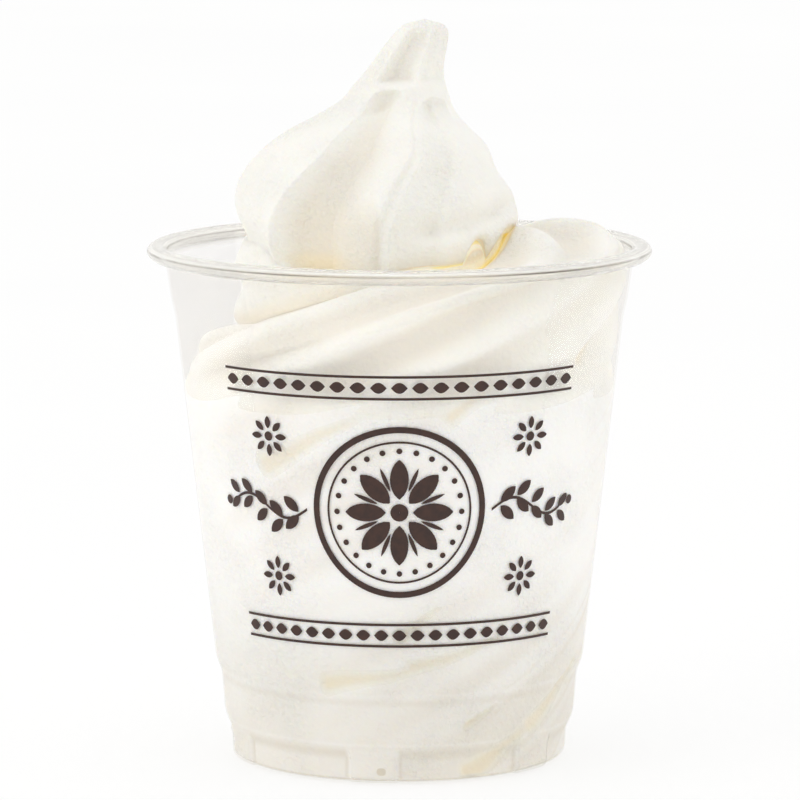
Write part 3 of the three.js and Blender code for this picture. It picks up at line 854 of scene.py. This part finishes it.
def creamRows():
    # each row: a function of the turn that gives its points, and how much painted shade they take
    # for lying in a valley, how much painted warm shade for lying in a crevice, and how far they lie on the
    # wall
    inWall = cream["intoWall"]

    def pressed(z):
        return insideRadius(z) + inWall

    def touching(back):
        return 1 - smooth(0.8 * inWall, 1.2 * inWall, back)

    def bottom(radius, z):
        return lambda turn: (atTurn(turn, radius, z), 0 * turn, 0 * turn, 1 + 0 * turn)

    def lowWall(z):
        def row(turn):
            deep = streakDepth(turn, z + 0 * turn)
            lifted = blockLift(turn, z) * 0.9
            gap = smooth(0.05, 0.8, deep)
            points = atTurn(turn, pressed(z) - deep + lifted * (1 - gap), z)
            # painted shade in soft bands on the wall, and painted warm shade in the streak gaps
            return points, wallShade(turn, z) * (1 - gap), 0.3 * gap, touching(deep)
        return row

    def openness(z):
        return smooth(cream["pressedZ"], cream["openZ"], z)

    def highWall(share):
        def row(turn):
            z = mix(cream["lastWall"], wallTop(turn), share)
            flute, gap = fluteAt(turn, z) * softSide(turn), streakDepth(turn, z)
            deep = cream["fluteDepth"] * openness(z) * flute + gap
            shade = np.maximum(flute * openness(z), wallShade(turn, z) * (1 - openness(z)))
            back = deep + 0.5 * openness(z)
            # painted shade in the flutes and in the bands on the wall, and painted warm shade in the streak
            # gaps
            return atTurn(turn, pressed(z) - back, z), shade, 0.3 * smooth(0.05, 0.8, gap), touching(back)
        return row

    def overShelf(inward):
        rise = float(curveThrough(shelfRise, inward))

        def row(turn):
            top = wallTop(turn)
            climbed = top + cream["shelfWidth"] * inward + (1 - inward) * rise * cream["shelfDrop"]
            flute = fluteAt(turn, climbed) * mix(softSide(turn), 1, smooth(0, 0.4, inward))
            lift = (0.35 - flute) * cream["fluteDepth"]
            edge = atTurn(turn, pressed(top) - 0.5, 0)
            crease = atTurn(turn, cream["creaseRadius"], 0, cream["crownX"])
            point = mix(edge, crease, inward)
            length = np.hypot(point[:, 0], point[:, 1])
            outward = (1 - inward) * 0.6
            edgeBlend = smooth(0, 0.05, inward)
            back = mix(flute * cream["fluteDepth"], -outward * np.minimum(lift, 0), edgeBlend)
            point[:, :2] *= (1 - back / length)[:, None]
            lifted = mix(1, math.sin(math.pi * inward), 0.4) * lift * mix(1, 0.4, smooth(0.7, 0.9, inward))
            high = mix(top, innerTop(turn), rise) + lifted * edgeBlend
            point[:, 2] = mix(high, creaseZ(turn), smooth(curveThrough(lipPlace, turn), 1, inward))
            # painted warm shade where the shelf turns down into the crease
            warmShade = smooth(mix(0.9, 0.84, rangeAt("pit", turn)), 0.99, inward) * creviceShadeAt(turn)
            return point, flute, warmShade, 0 * turn
        return row

    def coilSide(share):
        def row(turn):
            low, high = creaseZ(turn), crownEdgeZ(turn) - 0.4
            room = clamp01((high - low) / 14)
            bulge = max(math.sin(math.pi * share), 0) ** 0.36 * room
            full = mix(cream["creaseRadius"] + 0.3 * share, cream["crownRadius"], bulge)
            full = mix(full, float(curveThrough(leftCoil, share)), rangeAt("leftNotch", turn))
            notch = 0.2 - (cream["notchDepth"] - 1) * room
            valley = crownValley(turn, cream["twistFromZ"])
            radius = full + smooth(0.7, 1, share) * notch - share * 0.4 * valley
            # painted warm shade low in the crease and under the crown's edge, and painted shade down the
            # front flute
            warmShade = (1 - smooth(0, 0.45, share * room)) * creviceShadeAt(turn)
            under = smooth(0.5, 0.95, share) * smooth(-30, 20, turn) * creviceShadeAt(turn)
            flute = rangeAt("frontFlute", turn) * crownValley(turn, high) / 5
            under = np.maximum(under, 0.4 * share ** 2 * flute)
            points = atTurn(turn, radius, mix(low, high, share), cream["crownX"])
            return points, 0 * turn, np.maximum(warmShade, under), 0 * turn
        return row

    def crown(share):
        def row(turn):
            low = crownEdgeZ(turn)
            climb = mix(share, math.sin(share * math.pi / 2), 0.35)
            z = mix(aroundCurve(crownEdge, turn) - 0.4, cream["tipZ"], climb)
            z = z + archesAt(turn) * float(1 - smooth(0, 0.24, climb))
            left = rangeAt("leftNotch", turn)
            rounding = 1 - (0.025 + 0.05 * left) * bump((z - low) / (1.2 + 2.6 * left))
            radius, deep = crownRadiusAt(turn, z)
            # painted shade: warm at the crown's base and deepest in the pits at the right, darker at the foot
            # of the front flute, in its valleys and low in the middle
            rightPit = rangeAt("rightPit", turn)
            base = bump((z - low) / mix(0.8, 1.3, rightPit)) * mix(0.2, 0.8, rightPit) * creviceShadeAt(turn)
            foot = 0.26 * (1 - smooth(98.5, 102, z)) + 0.16 * (1 - smooth(106, 117, z))
            sunk = clamp01(deep / cream["fullValley"])
            hollow = foot * sunk * rangeAt("frontFlute", turn)
            centre = curveThrough(crownProfile, z, 2)
            points = atTurn(turn, radius * rounding, z, centre)
            shade = (1 - smooth(103, 117, z)) * rangeAt("middleShade", turn)
            return points, np.maximum(sunk ** 1.5, shade), np.maximum(base, hollow), 0 * turn
        return row

    ringFloor = cup["wall"] - inWall
    underside = [(cup["standInner"] * share, cream["floorZ"]) for share in (0.3, 0.6, 0.85, 0.95, 0.975)]
    underside += [(cup["standInner"] + 0.2, ringFloor), (cup["standInner"] + 0.6, ringFloor)]
    underside += [(cup["standOuter"] - 0.5, ringFloor), (cup["standOuter"], ringFloor + 0.1)]
    rows = [bottom(radius, z) for radius, z in underside]
    rows += [lowWall(z) for z in np.arange(cream["floorEdge"], cream["lastWall"], cream["wallPitch"])]
    rows += [highWall(share) for share in np.linspace(0.02, 1, cream["highRows"])]
    rows += [overShelf(inward) for inward in np.linspace(0.02, 1, cream["shelfRows"])]
    rows += [coilSide(share) for share in np.linspace(0.04, 1, cream["coilRows"])]
    rows += [crown(share) for share in np.linspace(0.008, 0.995, cream["crownRows"])]
    return rows


def makeCream():
    rows = creamRows()
    bands = len(rows) + 1
    shades = {name: np.zeros((bands + 1) * (cream["columns"] + 1)) for name in creamShades}

    def place(band, turn, on):
        if band == 0:
            return atTurn(turn, 0, cream["floorZ"])
        if band == bands:
            return atTurn(turn, 0, cream["tipZ"], crownProfile[-1][2])
        points, *values = rows[band - 1](turn)
        for name, value in zip(shades, values):
            shades[name][on] = value
        return points

    piece = wrappedBody("softServe", bands, cream["columns"], place)
    for name, values in shades.items():
        pointAttribute(piece.data, name, values)
    closeSeams(piece)
    return piece


footLook = {             # painted shadow and highlight lines where the cream fills the foot's mouldings
    "shadows": [(15.8, 1.0, 0.2), (0.2, 0.7, 0.9)],     # height, half width and strength
    "shines": [(7.4, 0.6, 0.5), (17.3, 0.7, 0.3)],
    "ledge": (5.6, 1.7, 0.5), "ledgeFrom": -0.2, "ledgeFull": 0.6,      # the same, between the blocks
    "blockShadow": (0.5, 1.1, 0.4), "blockShine": (-0.9, 0.7, 0.6),     # degrees out from a block's edge
    "blockTop": (6, 6.6),
    "dimple": (-6, 2.3), "dimpleWide": 2.1, "dimpleHigh": 1.0,          # a painted shadow spot: its turn and height, and half sizes
}

creamLook = {            # screen colours, shares, and millimetres
    "plain": ((252, 249, 241), (241, 235, 223)),        # on a crest, and with painted shade in a valley
    "pressed": ((248, 246, 242), (239, 234, 226)),      # the same where it lies on the wall
    # painted shadow and highlight for the foot's lines, and painted shade towards the bottom
    "footShadow": (214, 204, 186), "footShine": (255, 254, 252),
    "lowShade": (236, 229, 217), "lowShare": 0.4, "lowFrom": 6, "lowTo": 30,
    # painted warm shade: how deep in a crevice each tone starts and is full
    "creviceShades": [(0, 0.5, (240, 227, 200)), (0.45, 0.85, (249, 243, 226)), (0.9, 1, (250, 234, 180))],
    # painted light: glows in the crevices and inside the cup that stand in for light scattered in the cream
    "creviceGlow": [(0.2, 0.85, (110, 102, 78)), (0.9, 1, (124, 106, 50))],
    "cupGlow": (85, 86, 91), "cupGlowPart": (20, 45, 88, 100),
    "cloudTone": (247, 243, 233), "cloudShare": 0.4,
    "cloudScale": 60, "grainScale": 1150, "grainRough": 0.6, "pitScale": 850, "grainShare": 0.7,
    "relief": 0.25, "cloudRelief": 0.6, "reliefDeep": 1.2, "roughest": 0.15, "smoothest": 0.45,
    "scatter": 0.35, "scatterReach": (1.0, 0.8, 0.5), "scatterScale": 2, "ior": 1.4,
}


def footShadowsAndShines(place):
    # painted soft shadows and highlights round the foot; z in millimetres, turn in degrees
    x, y, z = (place.axis(number) for number in range(3))
    z = z * (1 / mm)
    turn = x.math("ARCTAN2", y * -1) * (180 / math.pi)
    sector = 360 / cup["blocks"]
    middle = cup["blockStart"] + cup["blockTurn"] / 2
    share = ((turn - middle) * (1 / sector) + 3.5).math("FRACT") - 0.5
    beyond = share.size() * sector - cup["blockTurn"] / 2

    def line(value, place, wide, strength=1):
        return (1 - (value - place).size().smoothstep(0, wide)) * strength

    onBlocks = 1 - z.smoothstep(*footLook["blockTop"])
    betweenBlocks = beyond.smoothstep(footLook["ledgeFrom"], footLook["ledgeFull"])
    shadow = line(beyond, *footLook["blockShadow"]) * onBlocks
    shadow = shadow.orLarger(line(z, *footLook["ledge"]) * betweenBlocks)
    for row in footLook["shadows"]:
        shadow = shadow.orLarger(line(z, *row))
    shine = line(beyond, *footLook["blockShine"]) * onBlocks
    for row in footLook["shines"]:
        shine = shine.orLarger(line(z, *row))
    dimpleTurn, dimpleZ = footLook["dimple"]
    dimple = line(turn, dimpleTurn, footLook["dimpleWide"]) * line(z, dimpleZ, footLook["dimpleHigh"])
    return shadow.orLarger(dimple.smoothstep(0.05, 0.3)), shine


def frozenCream():
    nodes = Nodes("frozenCream")
    place = nodes.place()
    footShadow, footShine, lowShade, cupGlow, cloudTone = (
        rgb(*creamLook[name]) for name in ("footShadow", "footShine", "lowShade", "cupGlow", "cloudTone"))
    valley, crevice, contact = (
        nodes.add("ShaderNodeAttribute", {"attribute_name": name}, out=2) for name in creamShades)
    cloud = nodes.noise(place, creamLook["cloudScale"], 3)
    grain = nodes.noise(place, creamLook["grainScale"], 3, creamLook["grainRough"])
    pits = nodes.add("ShaderNodeTexVoronoi", {}, {"Vector": place, "Scale": creamLook["pitScale"]})

    # painted shade: the deeper the cream lies in a valley, the darker its colour
    sunk = valley.smoothstep(0.0, 1.0)
    plain, pressed = (
        nodes.colourMix(sunk, *(rgb(*colour) for colour in creamLook[name])) for name in ("plain", "pressed"))
    # painted shadows and highlights round the foot
    shadow, shine = footShadowsAndShines(place)
    pressed = nodes.colourMix(shadow, pressed, footShadow)
    pressed = nodes.colourMix(shine, pressed, footShine)
    height = place.axis(2) * (1 / mm)
    # painted shade: the cream on the wall is darker towards the bottom of the cup
    low = 1 - height.smoothstep(creamLook["lowFrom"], creamLook["lowTo"])
    pressed = nodes.colourMix(low * creamLook["lowShare"], pressed, lowShade)
    tone = nodes.colourMix(contact, plain, pressed)
    for start, full, colour in creamLook["creviceShades"]:
        tone = nodes.colourMix(crevice.smoothstep(start, full), tone, rgb(*colour))
    clouded = nodes.colourMix(0.5, tone, cloudTone)
    tone = nodes.colourMix(cloud.smoothstep(0.35, 0.7) * creamLook["cloudShare"], tone, clouded)

    # painted light: the cream glows in its crevices and inside the cup, standing in for light that scatters
    # through it
    glow = rgb(0, 0, 0)
    for start, full, colour in creamLook["creviceGlow"]:
        glow = nodes.colourMix(crevice.smoothstep(start, full), glow, rgb(*colour))
    glow = nodes.colourMix(height.between(*creamLook["cupGlowPart"]), glow, cupGlow, "ADD")

    rough = cloud.smoothstep(0.3, 0.7)
    bumps = grain * creamLook["grainShare"] + pits * (1 - creamLook["grainShare"])
    relief = nodes.add("ShaderNodeBump", {}, {
        "Height": bumps, "Strength": rough * creamLook["cloudRelief"] + creamLook["relief"],
        "Distance": creamLook["reliefDeep"] * mm})
    return nodes.finish(nodes.add("ShaderNodeBsdfPrincipled", {}, {
        "Base Color": tone, "Roughness": rough * creamLook["roughest"] + creamLook["smoothest"],
        "IOR": creamLook["ior"], "Subsurface Weight": creamLook["scatter"],
        "Subsurface Radius": creamLook["scatterReach"], "Subsurface Scale": creamLook["scatterScale"] * mm,
        "Emission Color": glow, "Emission Strength": 1.0, "Normal": relief}))


creamPiece = makeCream()
creamPiece.data.materials.append(frozenCream())
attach(creamPiece, "root")
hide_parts("soft_serve")
print("stage: soft serve")
